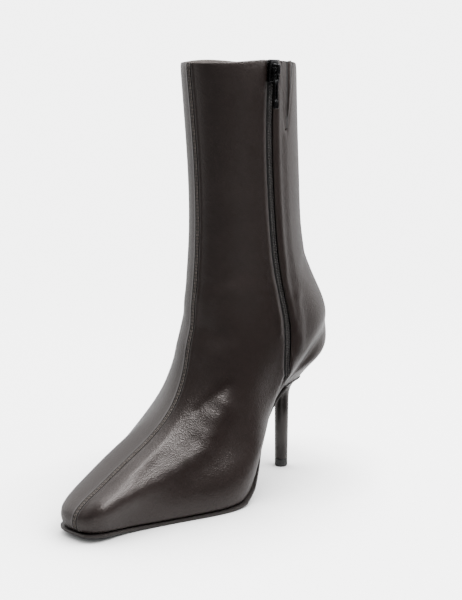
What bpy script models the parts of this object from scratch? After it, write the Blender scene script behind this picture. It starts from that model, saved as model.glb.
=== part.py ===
"""Stiletto ankle bootie, right foot: leather upper, thin sole, slim heel and a zip on the inner side.

Metres, +Z up. The toe points along +X and the inner (medial) side, with the zip, lies on +Y.
The origin is on the floor, under the middle of the boot's bounding box.
All tables and sizes below are in millimetres, measured from the middle of the heel's tip.
"""

import math

import bmesh
import bpy
import numpy as np

MM = 0.001

# Driving sizes, in millimetres
WALL = 1.8
GAP = 0.3
MARGIN_WIDTH = 5.5
MARGIN_TURN = 0.9
SOLE_THICKNESS = 2.3
SOLE_GAP = 0.4
SOLE_PROUD = 1.0
SOLE_BEVEL = 0.6
INSOLE_THICKNESS = 2.0
INSOLE_INSET = 3.6
INSOLE_LIFT = 0.5
BREAST_X = 14.0
COLLAR_CROWN = 2.6
CROWN_DEPTH = 60.0

SEAM_RIDGE = 0.55
SEAM_FLAT = 0.9
SEAM_EDGE = 2.7
SEAM_FOOT = 3.5

ZIP_SLOT = 6.6
ZIP_LIP = 4.5
ZIP_END = 4.0
COIL_WIDTH = 5.0
COIL_THICKNESS = 1.5
TAPE_WIDTH = 15.0
TAPE_THICKNESS = 0.8
TAPE_GAP = 0.5
TAPE_END = 9.0

GORE_DEPTH = 47.5
GORE_TIP_WIDTH = 3.0
GORE_TOP_WIDTH = 20.0
GORE_THICKNESS = 1.2
GORE_RECESS = 0.4
GORE_CLEARANCE = 0.4
GORE_FRONT_AT_COLLAR = 0.13
GORE_FRONT_BELOW = 0.22

STEM_TOP_RADIUS = 5.4
STEM_FOOT_RADIUS = 4.9
STEM_TOP = 48.0
TIP_HEIGHT = 6.0
TIP_BEVEL = 0.8
SEAT_CENTRE_X = -3.0
FLARE_POWER = 4.5

SLIDER_BELOW_COLLAR = 7.6
SLIDER_LENGTH = 15.0
SLIDER_WIDTH = 8.6
SLIDER_NECK = 4.8
PLATE_TOP = 2.4
SLIDER_EDGE = 0.3
BRIDGE_WIDTH = 2.4
BRIDGE_TOP = 7.0
BRIDGE_BAR = 1.6
BRIDGE_POST = 1.9
BRIDGE_HOLE = 2.9
HINGE_ABOVE_MIDDLE = 1.2

PULL_PIN = 1.4
PULL_CHEEK = 1.2
PULL_CLEARANCE = 0.4
PULL_EYE_LENGTH = 8.5
PULL_EYE_BAR = 1.2
PULL_WIDTH = 3.4
PULL_THICKNESS = 1.3
PULL_LENGTH = 26.5
PULL_WINDOW_START = 11.0
PULL_WINDOW_END = 20.5
PULL_WINDOW_WIDTH = 1.3
PULL_END_LENGTH = 5.2
PULL_END_WIDTH = 3.9
PULL_END_THICKNESS = 1.9
PULL_EDGE = 0.2

# The feather line, where the upper turns under: half widths of the inner and outer side at stations
# from the toe to the back of the heel
FEATHER_COLUMNS = ("x", "inner", "outer")
FEATHER = (
    (208.0, 0.0, 0.0),
    (207.0, 7.0, 14.5),
    (200.5, 12.4, 22.4),
    (184.0, 14.2, 24.6),
    (165.0, 18.0, 29.2),
    (145.0, 24.4, 35.0),
    (125.0, 32.0, 40.0),
    (105.0, 38.6, 42.4),
    (88.0, 40.2, 40.6),
    (70.0, 33.4, 34.4),
    (50.0, 22.2, 26.0),
    (30.0, 17.0, 19.6),
    (10.0, 16.0, 17.2),
    (-5.0, 12.6, 13.2),
    (-14.0, 6.8, 7.0),
    (-17.0, 0.0, 0.0),
)

# Height of the feather line above the floor: level tread, arch, heel seat and toe spring
PROFILE_COLUMNS = ("x", "z")
PROFILE = (
    (-17.0, 71.5),
    (0.0, 71.5),
    (14.0, 69.8),
    (30.0, 61.0),
    (45.0, 47.5),
    (58.0, 31.5),
    (70.0, 16.0),
    (82.0, 6.4),
    (94.0, 3.6),
    (146.0, 3.6),
    (176.0, 4.8),
    (208.0, 7.6),
)

# Sections of the upper, from the feather line to the collar. Each is a loop from the front seam
# round to the back: its front and back points, how far it follows the sole's profile, how much of
# the foot's outline it keeps, its half widths, how full the heel and how hollow the waist are, and
# the shape of the shaft's oval
SECTION_COLUMNS = (
    "front_x", "front_z", "back_x", "back_z", "follow", "foot", "inner", "outer", "heel", "waist", "wide",
    "inner_n", "outer_n", "back_n",
)
SECTIONS = (
    (208.0, 7.6, -17.0, 71.5, 1.00, 1.00, 40.2, 42.4, 1.00, 0.0, 0.50, 2.0, 2.0, 2.0),
    (209.5, 13.0, -22.0, 75.5, 0.92, 1.00, 41.2, 44.0, 1.06, 0.0, 0.50, 2.0, 2.0, 2.0),
    (207.0, 20.0, -28.5, 81.5, 0.76, 0.97, 40.6, 45.6, 1.28, 0.5, 0.48, 2.0, 2.6, 2.1),
    (193.0, 28.0, -36.5, 89.0, 0.58, 0.90, 37.4, 48.5, 1.62, 4.0, 0.46, 2.2, 3.5, 2.3),
    (168.0, 40.5, -42.5, 98.5, 0.38, 0.80, 34.4, 50.0, 1.72, 6.0, 0.40, 2.3, 3.4, 2.4),
    (143.0, 52.5, -43.5, 109.0, 0.22, 0.60, 33.2, 48.5, 1.54, 6.0, 0.36, 2.2, 3.1, 2.4),
    (118.0, 71.0, -39.5, 122.0, 0.10, 0.26, 32.4, 44.5, 1.32, 2.5, 0.36, 2.1, 2.8, 2.4),
    (103.0, 104.0, -29.5, 141.0, 0.03, 0.06, 31.4, 39.0, 1.12, 0.0, 0.38, 2.0, 2.3, 2.2),
    (97.0, 137.0, -18.5, 160.0, 0.00, 0.00, 30.0, 35.5, 1.00, 0.0, 0.42, 2.0, 2.1, 2.1),
    (92.5, 178.0, -10.0, 188.0, 0.00, 0.00, 29.0, 33.0, 1.00, 0.0, 0.46, 2.0, 2.0, 2.0),
    (92.0, 215.0, -7.5, 218.0, 0.00, 0.00, 29.0, 31.5, 1.00, 0.0, 0.48, 2.0, 2.0, 2.0),
    (95.0, 260.0, -4.5, 260.0, 0.00, 0.00, 30.0, 31.0, 1.00, 0.0, 0.50, 2.0, 2.0, 2.0),
    (100.5, 307.0, -1.0, 306.5, 0.00, 0.00, 32.0, 30.0, 1.00, 0.0, 0.50, 2.0, 2.0, 2.0),
)
# The heel cup is fuller than the outline below it, over this share of each section
HEEL_FULL_START = 0.04
HEEL_FULL_END = 0.34
# The inner side is hollow at the waist, centred here and fading out over this reach each way
WAIST_X = 42.0
WAIST_REACH = 36.0

RINGS_BETWEEN = (2, 2, 2, 3, 3, 3, 4, 3, 3, 3, 3, 3)

# Where the zip's middle lies on the inner half of each section, as a share of the way to the back
ZIP_TRACK = (0.809, 0.792, 0.755, 0.708, 0.655, 0.595, 0.530, 0.515, 0.500, 0.476, 0.458, 0.456, 0.487)

INNER_FRONT_COLUMNS = 16
INNER_BACK_COLUMNS = 6
OUTER_COLUMNS = 22
TOE_CROWDING = 1.3


def clear_scene():
    for item in list(bpy.data.objects):
        bpy.data.objects.remove(item, do_unlink=True)


def column(table, names, name):
    return np.array([row[names.index(name)] for row in table])


def second_slopes(at, values):
    """Second derivatives of the natural cubic spline through the values."""
    count = len(at)
    step = np.diff(at)
    matrix = np.eye(count)
    right = np.zeros(count)
    for i in range(1, count - 1):
        matrix[i, i - 1] = step[i - 1]
        matrix[i, i] = 2 * (step[i - 1] + step[i])
        matrix[i, i + 1] = step[i]
        right[i] = 6 * ((values[i + 1] - values[i]) / step[i] - (values[i] - values[i - 1]) / step[i - 1])
    return np.linalg.solve(matrix, right)


def spline(at, values, where):
    """Natural cubic spline through (at, values), read at each place in where."""
    bend = second_slopes(at, values)
    where = np.atleast_1d(np.asarray(where, dtype=float))
    i = np.clip(np.searchsorted(at, where) - 1, 0, len(at) - 2)
    step = at[i + 1] - at[i]
    a = (at[i + 1] - where) / step
    b = (where - at[i]) / step
    curve = ((a ** 3 - a) * bend[i] + (b ** 3 - b) * bend[i + 1]) * step ** 2 / 6
    return a * values[i] + b * values[i + 1] + curve


def monotone(at, values, where):
    """Cubic through the values that never overshoots, so that level stretches stay level."""
    step = np.diff(at)
    rise = np.diff(values) / step
    slope = np.zeros(len(at))
    for i in range(1, len(at) - 1):
        if rise[i - 1] * rise[i] > 0:
            w1 = 2 * step[i] + step[i - 1]
            w2 = step[i] + 2 * step[i - 1]
            slope[i] = (w1 + w2) / (w1 / rise[i - 1] + w2 / rise[i])
    slope[-1] = rise[-1]
    where = np.clip(np.atleast_1d(np.asarray(where, dtype=float)), at[0], at[-1])
    i = np.clip(np.searchsorted(at, where) - 1, 0, len(at) - 2)
    t = (where - at[i]) / step[i]
    return (
        (2 * t ** 3 - 3 * t ** 2 + 1) * values[i]
        + (t ** 3 - 2 * t ** 2 + t) * step[i] * slope[i]
        + (-2 * t ** 3 + 3 * t ** 2) * values[i + 1]
        + (t ** 3 - t ** 2) * step[i] * slope[i + 1]
    )


PROFILE_X = column(PROFILE, PROFILE_COLUMNS, "x")
PROFILE_Z = column(PROFILE, PROFILE_COLUMNS, "z")
TOE_X = PROFILE_X[-1]
HEEL_X = PROFILE_X[0]


def feather_height(x):
    return monotone(PROFILE_X, PROFILE_Z, x)


def profile_sag(share):
    """How far the profile hangs below its own chord, from the back (0) to the toe (1)."""
    x = HEEL_X + share * (TOE_X - HEEL_X)
    chord = PROFILE_Z[0] + share * (PROFILE_Z[-1] - PROFILE_Z[0])
    return feather_height(x) - chord


SIDES = ("inner", "outer")


def along(points):
    """Length along a line of points, from its start to each of them."""
    steps = np.linalg.norm(np.diff(points, axis=0), axis=1)
    return np.concatenate([[0.0], np.cumsum(steps)])


def resample(points, places):
    length = along(points)
    return np.stack([np.interp(places, length, points[:, k]) for k in range(points.shape[1])], axis=1)


DENSE = 241


def smooth_half(side):
    """The feather outline of one side as share of length and share of width, toe to heel."""
    x = column(FEATHER, FEATHER_COLUMNS, "x")
    width = column(FEATHER, FEATHER_COLUMNS, side)
    line = np.stack([x, width], axis=1)
    mirror = line[::-1] * (1, -1)
    whole = np.concatenate([mirror[-4:-1], line, mirror[1:4]])
    length = along(whole)
    places = np.linspace(length[3], length[-4], DENSE)
    smooth = np.stack([spline(length, whole[:, k], places) for k in range(2)], axis=1)
    share = (smooth[:, 0] - HEEL_X) / (TOE_X - HEEL_X)
    return np.stack([share, smooth[:, 1] / width.max()], axis=1)


FOOT_HALF = {"inner": smooth_half("inner"), "outer": smooth_half("outer")}


def oval_half(wide, front_n, back_n):
    """Half of an oval whose widest place is a share of the way from the back to the front."""
    angle = np.linspace(0.0, math.pi, DENSE)
    front = angle <= math.pi / 2
    power = np.where(front, 2 / front_n, 2 / back_n)
    run = np.sign(np.cos(angle)) * np.abs(np.cos(angle)) ** power
    share = np.where(front, wide + (1 - wide) * run, wide + wide * run)
    line = np.stack([share, np.sin(angle) ** power], axis=1)
    length = along(line)
    return resample(line, np.linspace(0.0, length[-1], DENSE))


def section_places():
    """The sections' places along the boot, by the mean of the front and back lengths."""
    front = np.stack([column(SECTIONS, SECTION_COLUMNS, k) for k in ("front_x", "front_z")], axis=1)
    back = np.stack([column(SECTIONS, SECTION_COLUMNS, k) for k in ("back_x", "back_z")], axis=1)
    return (along(front) + along(back)) / 2


PLACES = section_places()
TOP = PLACES[-1]


def section_values(place):
    values = {}
    for name in SECTION_COLUMNS:
        values[name] = float(spline(PLACES, column(SECTIONS, SECTION_COLUMNS, name), place)[0])
    return values


def half_loop(place, side):
    """Points of one side of the section at a place, from the front seam to the back seam."""
    s = section_values(place)
    foot = FOOT_HALF[side]
    oval = oval_half(s["wide"], s[side + "_n"], s["back_n"])
    keep = min(max(s["foot"], 0.0), 1.0)
    shape = keep * foot + (1 - keep) * oval
    share = shape[:, 0]
    x = s["back_x"] + share * (s["front_x"] - s["back_x"])
    z = s["back_z"] + share * (s["front_z"] - s["back_z"])
    z = z + max(s["follow"], 0.0) * profile_sag(np.clip(share, 0.0, 1.0))
    toward_heel = np.clip((HEEL_FULL_END - share) / (HEEL_FULL_END - HEEL_FULL_START), 0.0, 1.0)
    full = 1 + (s["heel"] - 1) * toward_heel ** 2 * (3 - 2 * toward_heel)
    y = shape[:, 1] * full * s[side]
    if side == "inner":
        near_waist = np.clip(1 - np.abs(x - WAIST_X) / WAIST_REACH, 0.0, 1.0)
        y = y - s["waist"] * near_waist ** 2 * (3 - 2 * near_waist)
    else:
        y = -y
    near_collar = max(0.0, 1 - (TOP - place) / CROWN_DEPTH)
    z = z + COLLAR_CROWN * near_collar ** 2 * np.sin(math.pi * np.clip(share, 0.0, 1.0)) ** 2
    return np.stack([x, y, z], axis=1)


def ring_places():
    places = [0.0]
    for i, count in enumerate(RINGS_BETWEEN):
        for k in range(1, count + 1):
            places.append(PLACES[i] + (PLACES[i + 1] - PLACES[i]) * k / count)
    return places


def zip_share(place):
    return float(spline(PLACES, np.array(ZIP_TRACK), place)[0])


def gore_edges(place, zip_back, length):
    """Where the V begins and ends behind the zip; below its blunt tip the two run on side by side."""
    share = max(0.0, 1 - (TOP - place) / GORE_DEPTH)
    start = GORE_FRONT_BELOW + (GORE_FRONT_AT_COLLAR - GORE_FRONT_BELOW) * share
    front = zip_back + (length - zip_back) * start
    return front, front + GORE_TIP_WIDTH + (GORE_TOP_WIDTH - GORE_TIP_WIDTH) * share


def zip_edges(place, length):
    middle = zip_share(place) * length
    return middle - ZIP_SLOT / 2, middle + ZIP_SLOT / 2


def spread(start, end, count, crowding=1.0):
    """Places after start, up to and with end, closer together near the start if crowded."""
    share = np.linspace(0.0, 1.0, count + 1)[1:] ** crowding
    return list(start + (end - start) * share)


SEAM_PLACES = (SEAM_FLAT, SEAM_EDGE, SEAM_FOOT)


def inner_columns(place, length):
    """Distances from the front seam at which the inner half has its columns."""
    zip_front, zip_back = zip_edges(place, length)
    gore_front, gore_back = gore_edges(place, zip_back, length)
    columns = [0.0, *SEAM_PLACES]
    columns += spread(SEAM_FOOT, zip_front - ZIP_LIP, INNER_FRONT_COLUMNS, TOE_CROWDING)
    columns += [zip_front, zip_back, zip_back + ZIP_LIP]
    columns += [gore_front, (gore_front + gore_back) / 2, gore_back]
    columns += spread(gore_back, length, INNER_BACK_COLUMNS)
    return columns


def outer_columns(length):
    return [0.0, *SEAM_PLACES, *spread(SEAM_FOOT, length, OUTER_COLUMNS, TOE_CROWDING)]


ZIP_FRONT_COLUMN = len(SEAM_PLACES) + INNER_FRONT_COLUMNS + 1
GORE_FRONT_COLUMN = ZIP_FRONT_COLUMN + 3


def ring(place):
    """One closed ring of the upper: front seam, inner side, back seam, outer side."""
    inner = half_loop(place, "inner")
    outer = half_loop(place, "outer")
    inner = resample(inner, inner_columns(place, along(inner)[-1]))
    outer = resample(outer, outer_columns(along(outer)[-1]))
    return np.concatenate([inner, outer[-2:0:-1]])


def facet_height(side, x):
    """Height of the upper's feather line between its own columns, where the next piece meets it."""
    half = half_loop(0.0, side)
    length = along(half)
    places = inner_columns(0.0, length[-1]) if side == "inner" else outer_columns(length[-1])
    corners = resample(half, places)[::-1]
    return np.interp(x, corners[:, 0], corners[:, 2])


def on_profile(loop):
    """The loop with each point at the height of the feather line below or above it."""
    line = loop.copy()
    inner = line[:, 1] >= 0
    line[inner, 2] = facet_height("inner", line[inner, 0])
    line[~inner, 2] = facet_height("outer", line[~inner, 0])
    return line


def drop_square(line, drop):
    """Moves points below the sole's profile by a distance square to it."""
    reach = 0.5
    slope = (feather_height(line[:, 0] + reach) - feather_height(line[:, 0] - reach)) / (2 * reach)
    scale = drop / np.sqrt(1 + slope ** 2)
    return line + np.stack([slope * scale, np.zeros(len(line)), -scale], axis=1)


def inward(loop, distance):
    """The loop shrunk by a distance in plan."""
    run = np.roll(loop, -1, axis=0) - np.roll(loop, 1, axis=0)
    normal = np.stack([-run[:, 1], run[:, 0], np.zeros(len(loop))], axis=1)
    normal /= np.linalg.norm(normal, axis=1)[:, None]
    return loop + normal * distance


def surface_point(place, distance):
    """Point and outward normal on the inner half, at a distance from the front seam."""
    def read(at, away):
        half = half_loop(at, "inner")
        return resample(half, [away])[0]
    here = read(place, distance)
    up = read(min(place + 0.5, TOP), distance) - read(place - 0.5, distance)
    back = read(place, distance + 0.5) - read(place, distance - 0.5)
    normal = np.cross(back, up)
    return here, normal / np.linalg.norm(normal)


def make_material(name, colour, roughness, metallic=0.0):
    material = bpy.data.materials.new(name)
    material.use_nodes = True
    shader = material.node_tree.nodes["Principled BSDF"]
    shader.inputs["Base Color"].default_value = (*colour, 1.0)
    shader.inputs["Roughness"].default_value = roughness
    shader.inputs["Metallic"].default_value = metallic
    return material


def make_object(name, points, faces, material, origin=(0.0, 0.0, 0.0)):
    """One closed mesh; points in millimetres, the object's origin at the given point."""
    origin = np.array(origin, dtype=float)
    mesh = bpy.data.meshes.new(name)
    mesh.from_pydata([tuple((np.array(p) - origin) * MM) for p in points], [], faces)
    work = bmesh.new()
    work.from_mesh(mesh)
    bmesh.ops.recalc_face_normals(work, faces=work.faces)
    work.to_mesh(mesh)
    work.free()
    mesh.materials.append(material)
    mesh.shade_smooth()
    mesh.set_sharp_from_angle(angle=math.radians(40))
    item = bpy.data.objects.new(name, mesh)
    item.location = tuple(origin * MM)
    bpy.context.collection.objects.link(item)
    return item


def add_bevel(item, width):
    bevel = item.modifiers.new("edges", "BEVEL")
    bevel.width = width * MM
    bevel.segments = 1
    bevel.limit_method = "ANGLE"
    bevel.angle_limit = math.radians(40)


def skin_rings():
    """The upper's outer skin: lasting margin, feather line, then the sections up to the collar."""
    places = ring_places()
    rings = [ring(place) for place in places]
    under = drop_square(on_profile(inward(rings[0], MARGIN_TURN)), MARGIN_TURN)
    edge = drop_square(on_profile(inward(rings[0], MARGIN_WIDTH)), MARGIN_TURN)
    return [edge, under] + rings, [-2.0, -1.0] + places


def ring_normals(rings):
    normals = []
    for i, loop in enumerate(rings):
        up = rings[min(i + 1, len(rings) - 1)] - rings[max(i - 1, 0)]
        around = np.roll(loop, -1, axis=0) - np.roll(loop, 1, axis=0)
        normal = np.cross(around, up)
        normals.append(normal / np.linalg.norm(normal, axis=1)[:, None])
    return normals


def make_upper(leather):
    """Both halves of the leather as one wall, with the raised front seam, the slot and the V."""
    rings, places = skin_rings()
    normals = ring_normals(rings)
    for loop, normal in zip(rings[2:], normals[2:]):
        for ridge in (1, 2, -1, -2):
            loop[ridge] += normal[ridge] * SEAM_RIDGE
    count = len(rings[0])
    faces = []
    for i in range(len(rings) - 1):
        for j in range(count):
            in_slot = j == ZIP_FRONT_COLUMN and places[i] >= ZIP_END
            in_gore = j in (GORE_FRONT_COLUMN, GORE_FRONT_COLUMN + 1) and places[i] >= TOP - GORE_DEPTH
            if in_slot or in_gore:
                continue
            k = (j + 1) % count
            faces.append((i * count + j, i * count + k, (i + 1) * count + k, (i + 1) * count + j))
    item = make_object("upper", [p for loop in rings for p in loop], faces, leather)
    solid = item.modifiers.new("wall", "SOLIDIFY")
    solid.thickness = WALL * MM
    solid.offset = -1.0
    solid.use_even_offset = True
    return item


def flat_outline(side, offset, start_x=None, end_x=None, count=38, crowding=1.2):
    """Points of one side of the feather line moved outward in plan, from the toe to the back."""
    half = half_loop(0.0, side)
    run = np.gradient(half, axis=0)
    turn = 1 if side == "inner" else -1
    normal = np.stack([-run[:, 1], run[:, 0], np.zeros(len(half))], axis=1) * -turn
    normal /= np.linalg.norm(normal, axis=1)[:, None]
    line = half + normal * offset
    if start_x is not None:
        line = line[line[:, 0] >= start_x]
        line = np.concatenate([line, [[start_x, line[-1, 1], feather_height(start_x)[0]]]])
    if end_x is not None:
        line = line[line[:, 0] <= end_x]
        line = np.concatenate([[[end_x, line[0, 1], feather_height(end_x)[0]]], line])
    length = along(line)[-1]
    return resample(line, [0.0, *spread(0.0, length, count - 1, crowding)])


def ladder(name, layers, material):
    """A closed board from layers of (inner side, outer side) outlines that share their toe point."""
    points = []
    count = len(layers[0][0])
    for inner, outer in layers:
        points += [*inner, *outer]
    faces = []
    last = len(layers) - 1
    for level, flip in ((0, False), (last, True)):
        base = level * 2 * count
        for i in range(count - 1):
            faces.append((base + i, base + i + 1, base + count + i + 1, base + count + i))
    for level in range(last):
        low = level * 2 * count
        high = low + 2 * count
        for i in range(count - 1):
            faces.append((low + i, low + i + 1, high + i + 1, high + i))
            faces.append((low + count + i, low + count + i + 1, high + count + i + 1, high + count + i))
        faces.append((low + count - 1, low + 2 * count - 1, high + 2 * count - 1, high + count - 1))
    item = make_object(name, points, faces, material)
    weld_and_turn(item)
    return item


def weld_and_turn(item):
    """Joins the doubled points at the ends and turns the faces outward."""
    work = bmesh.new()
    work.from_mesh(item.data)
    bmesh.ops.remove_doubles(work, verts=work.verts, dist=0.02 * MM)
    bmesh.ops.dissolve_degenerate(work, edges=work.edges, dist=0.01 * MM)
    bmesh.ops.recalc_face_normals(work, faces=work.faces)
    work.to_mesh(item.data)
    work.free()


def lowered(side, outline, drop):
    """The outline laid along the feather line and moved below it, square to the profile."""
    line = outline.copy()
    line[:, 2] = facet_height(side, line[:, 0])
    return drop_square(line, drop)


def make_outsole(leather):
    """Thin sole from the toe to the heel breast, a little proud of the upper."""
    top = MARGIN_TURN + SOLE_GAP
    steps = (
        (SOLE_PROUD, top),
        (SOLE_PROUD, top + SOLE_THICKNESS - SOLE_BEVEL),
        (SOLE_PROUD - SOLE_BEVEL, top + SOLE_THICKNESS),
    )
    layers = []
    for proud, drop in steps:
        layers.append([lowered(side, flat_outline(side, proud, start_x=BREAST_X), drop) for side in SIDES])
    return ladder("outsole", layers, leather)


def make_insole(lining):
    """Board that lies on the lasting margin, inside the upper's wall."""
    bottom = MARGIN_TURN - WALL - INSOLE_LIFT
    layers = []
    for drop in (bottom, bottom - INSOLE_THICKNESS):
        layers.append([lowered(side, flat_outline(side, -INSOLE_INSET), drop) for side in SIDES])
    return ladder("insole", layers, lining)


def loft(name, rings, material):
    """Closed solid through rings of equal count, with flat ends."""
    count = len(rings[0])
    faces = []
    for i in range(len(rings) - 1):
        for j in range(count):
            k = (j + 1) % count
            faces.append((i * count + j, i * count + k, (i + 1) * count + k, (i + 1) * count + j))
    faces.append(tuple(range(count)))
    faces.append(tuple(range((len(rings) - 1) * count, len(rings) * count)))
    return make_object(name, [p for loop in rings for p in loop], faces, material)


FLARE_STEPS = (0.0, 0.05, 0.12, 0.21, 0.33, 0.50, 0.72, 1.0)


def make_heel(cover):
    """Stiletto heel: its seat has the feather's outline, and it flares down into a thin stem."""
    drop = MARGIN_TURN + GAP
    inner, outer = [
        lowered(side, flat_outline(side, 0.0, end_x=BREAST_X - GAP, count=13, crowding=1.0), drop) for side in SIDES
    ]
    breast = [outer[0] + (inner[0] - outer[0]) * share for share in (0.25, 0.5, 0.75)]
    seat = np.concatenate([inner, outer[-2::-1], np.array(breast)])
    angle = np.arctan2(seat[:, 1], seat[:, 0] - SEAT_CENTRE_X)
    rings = []
    for step in FLARE_STEPS:
        blend = (1 - step) ** FLARE_POWER
        stem = np.stack([np.cos(angle), np.sin(angle)], axis=1) * STEM_TOP_RADIUS
        plan = stem + (seat[:, :2] - stem) * blend
        height = seat[:, 2] * (1 - step) + STEM_TOP * step
        rings.append(np.column_stack([plan, height]))
    foot = np.stack([np.cos(angle), np.sin(angle)], axis=1) * STEM_FOOT_RADIUS
    rings.append(np.column_stack([foot, np.full(len(foot), TIP_HEIGHT + GAP)]))
    return loft("heel", rings, cover)


def make_heel_tip(rubber):
    """The wearing piece below the heel, with a flat foot."""
    angle = np.linspace(0.0, 2 * math.pi, 29)[:-1]
    rings = []
    for radius, height in (
        (STEM_FOOT_RADIUS, TIP_HEIGHT),
        (STEM_FOOT_RADIUS, TIP_BEVEL),
        (STEM_FOOT_RADIUS - TIP_BEVEL, 0.0),
    ):
        rings.append(np.column_stack([np.cos(angle) * radius, np.sin(angle) * radius, np.full(28, height)]))
    return loft("heel_tip", rings, rubber)


def make_strip(name, places, edges, shares, low, high, material):
    """A closed strip that follows the inner side of the shaft, between two edges."""
    points = []
    for place in places:
        first, last = edges(place)
        for share in shares:
            here, normal = surface_point(place, first + (last - first) * share)
            points += [here + normal * low, here + normal * high]
    width = len(shares)
    faces = []
    for i in range(len(places) - 1):
        a = i * width * 2
        b = a + width * 2
        for j in range(width - 1):
            p = a + 2 * j
            q = b + 2 * j
            faces.append((p, p + 2, q + 2, q))
            faces.append((p + 1, p + 3, q + 3, q + 1))
        faces.append((a, a + 1, b + 1, b))
        faces.append((a + 2 * width - 2, a + 2 * width - 1, b + 2 * width - 1, b + 2 * width - 2))
    for base in (0, (len(places) - 1) * width * 2):
        for j in range(width - 1):
            p = base + 2 * j
            faces.append((p, p + 2, p + 3, p + 1))
    return make_object(name, points, faces, material)


def inner_length(place):
    return along(half_loop(place, "inner"))[-1]


def zip_middle(place):
    return zip_share(place) * inner_length(place)


def places_between(low, high):
    """The upper's own ring places between two heights, with the two ends."""
    kept = [place for place in ring_places() if low + 1.0 < place < high - 1.0]
    return [low, *kept, high]


def make_zip_tape(cloth):
    def edges(place):
        return zip_middle(place) - TAPE_WIDTH / 2, zip_middle(place) + TAPE_WIDTH / 2
    top = -WALL - TAPE_GAP
    places = places_between(TAPE_END, TOP - 1.0)
    return make_strip("zip_tape", places, edges, (0.0, 0.33, 0.67, 1.0), top - TAPE_THICKNESS, top, cloth)


def make_zip_coil(metal):
    def edges(place):
        return zip_middle(place) - COIL_WIDTH / 2, zip_middle(place) + COIL_WIDTH / 2
    low = -WALL - TAPE_GAP + GAP
    top = TOP - SLIDER_BELOW_COLLAR - SLIDER_LENGTH / 2 - GAP
    places = places_between(TAPE_END, top)
    return make_strip("zip_coil", places, edges, (0.0, 0.3, 0.7, 1.0), low, low + COIL_THICKNESS, metal)


def make_gore(elastic):
    def edges(place):
        length = inner_length(place)
        front, back = gore_edges(place, zip_edges(place, length)[1], length)
        return front + GORE_CLEARANCE, back - GORE_CLEARANCE
    first = min(place for place in ring_places() if place >= TOP - GORE_DEPTH)
    places = places_between(first + 0.6, TOP)
    high = -GORE_RECESS
    return make_strip("gore", places, edges, (0.0, 0.5, 1.0), high - GORE_THICKNESS, high, elastic)


def make_blocks(name, breaks, solid, frame, origin, material):
    """Closed mesh of the filled cells of a small grid; frame holds the grid's three directions."""
    xs, ys, zs = breaks
    points = {}
    faces = []

    def corner(i, j, k):
        key = (i, j, k)
        if key not in points:
            points[key] = len(points)
        return points[key]

    def filled(i, j, k):
        inside = 0 <= i < len(xs) - 1 and 0 <= j < len(ys) - 1 and 0 <= k < len(zs) - 1
        return inside and solid((xs[i] + xs[i + 1]) / 2, (ys[j] + ys[j + 1]) / 2, (zs[k] + zs[k + 1]) / 2)

    for i in range(len(xs) - 1):
        for j in range(len(ys) - 1):
            for k in range(len(zs) - 1):
                if not filled(i, j, k):
                    continue
                for axis in range(3):
                    for side in (0, 1):
                        step = [0, 0, 0]
                        step[axis] = 1 if side else -1
                        if filled(i + step[0], j + step[1], k + step[2]):
                            continue
                        cell = []
                        for u, v in ((0, 0), (1, 0), (1, 1), (0, 1)):
                            offset = [u, v]
                            offset.insert(axis, side)
                            cell.append(corner(i + offset[0], j + offset[1], k + offset[2]))
                        faces.append(tuple(cell))
    placed = [None] * len(points)
    for (i, j, k), number in points.items():
        placed[number] = origin + frame[0] * xs[i] + frame[1] * ys[j] + frame[2] * zs[k]
    item = make_object(name, placed, faces, material, origin)
    return item


def slider_frame():
    """Middle of the slider on the leather, with its directions across, up and outward."""
    place = TOP - SLIDER_BELOW_COLLAR
    here, outward = surface_point(place, zip_middle(place))
    up_point, _ = surface_point(place + 4.0, zip_middle(place + 4.0))
    up = up_point - here
    up -= outward * np.dot(up, outward)
    up /= np.linalg.norm(up)
    return here, np.array([np.cross(up, outward), up, outward])


def make_zip_slider(metal):
    """Slider body with a neck in the slot, a plate over the lips and a bridge for the pull."""
    middle, frame = slider_frame()
    neck = SLIDER_NECK / 2
    plate = SLIDER_WIDTH / 2
    bridge = BRIDGE_WIDTH / 2
    hole = BRIDGE_HOLE / 2
    reach = hole + BRIDGE_POST
    xs = (-plate, -neck, -bridge, bridge, neck, plate)
    ys = (
        -SLIDER_LENGTH / 2,
        HINGE_ABOVE_MIDDLE - reach,
        HINGE_ABOVE_MIDDLE - hole,
        HINGE_ABOVE_MIDDLE + hole,
        HINGE_ABOVE_MIDDLE + reach,
        SLIDER_LENGTH / 2,
    )
    zs = (-WALL, GAP, PLATE_TOP, BRIDGE_TOP - BRIDGE_BAR, BRIDGE_TOP)

    def solid(x, y, z):
        if z < GAP:
            return abs(x) < neck
        if z < PLATE_TOP:
            return True
        if abs(x) > bridge or abs(y - HINGE_ABOVE_MIDDLE) > reach:
            return False
        return z > BRIDGE_TOP - BRIDGE_BAR or abs(y - HINGE_ABOVE_MIDDLE) > hole

    item = make_blocks("zip_slider", (xs, ys, zs), solid, frame, middle, metal)
    add_bevel(item, SLIDER_EDGE)
    return item


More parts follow.
